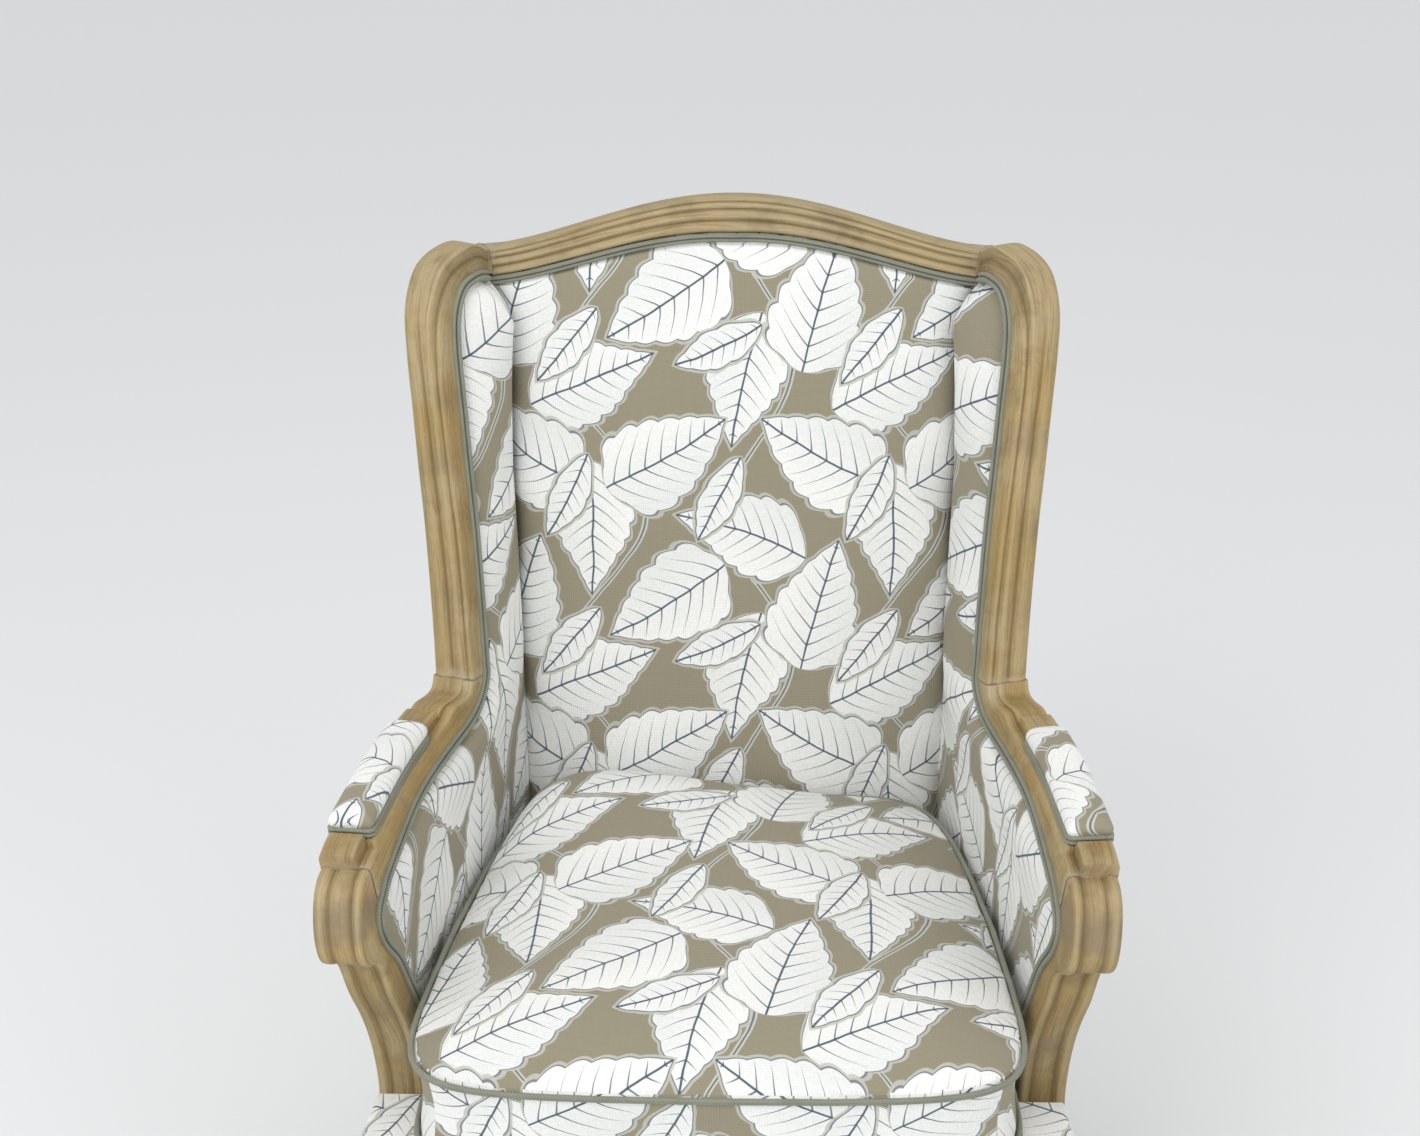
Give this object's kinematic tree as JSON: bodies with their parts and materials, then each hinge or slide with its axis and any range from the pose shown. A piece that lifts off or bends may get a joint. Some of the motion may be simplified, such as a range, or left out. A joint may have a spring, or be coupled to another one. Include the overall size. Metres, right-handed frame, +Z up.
{
  "type": "wing armchair",
  "caption": "High-backed wooden-framed armchair with side wings, padded arms and a loose seat cushion that lifts out.",
  "frame": {"origin": "on the floor, in the middle of the box round the whole chair", "axes": "+Z up, -Y out of the front of the chair, +X to the right as seen from the front"},
  "size_m": [0.74, 0.78, 1.12],
  "materials": {
    "show_wood": "limed and waxed, satin",
    "frame_wood": "bare planed beech, matt",
    "print_cloth": "printed linen, matt",
    "welt_cord": "woven double welt, matt",
    "webbing": "woven jute, matt",
    "lining": "black cambric, matt",
    "steel": "plain steel"
  },
  "bodies": {
    "frame": {"crest_rail": "show_wood", "rear_post_left": "show_wood", "rear_post_right": "show_wood", "lower_back_rail": "frame_wood", "wing_rail_left": "show_wood", "wing_rail_right": "show_wood", "arm_left": "show_wood", "arm_right": "show_wood", "arm_support_left": "show_wood", "arm_support_right": "show_wood", "front_leg_left": "show_wood", "front_leg_right": "show_wood", "front_rail": "show_wood", "side_rail_left": "show_wood", "side_rail_right": "show_wood", "rear_rail": "show_wood", "corner_blocks": "frame_wood", "block_screws": "steel", "foot_glides": "steel", "seat_webbing": "webbing", "back_webbing": "webbing", "seat_deck": "print_cloth", "dust_cover": "lining", "inside_back": "print_cloth", "outside_back": "print_cloth", "inside_side_left": "print_cloth", "inside_side_right": "print_cloth", "outside_side_left": "print_cloth", "outside_side_right": "print_cloth", "arm_pad_left": "print_cloth", "arm_pad_right": "print_cloth", "back_trim": "welt_cord", "side_trim_left": "welt_cord", "side_trim_right": "welt_cord", "arm_pad_trim_left": "welt_cord", "arm_pad_trim_right": "welt_cord", "outside_back_trim": "welt_cord", "outside_side_trim_left": "welt_cord", "outside_side_trim_right": "welt_cord", "deck_trim": "welt_cord"},
    "cushion": {"seat_cushion": "print_cloth", "cushion_welt_top": "welt_cord", "cushion_welt_bottom": "welt_cord"}
  },
  "joints": [
    {"name": "cushion_lift", "type": "slide", "parent": "frame", "child": "cushion", "axis": [0, -0.7071, 0.7071], "range_m": [0, 0.5]}
  ]
}
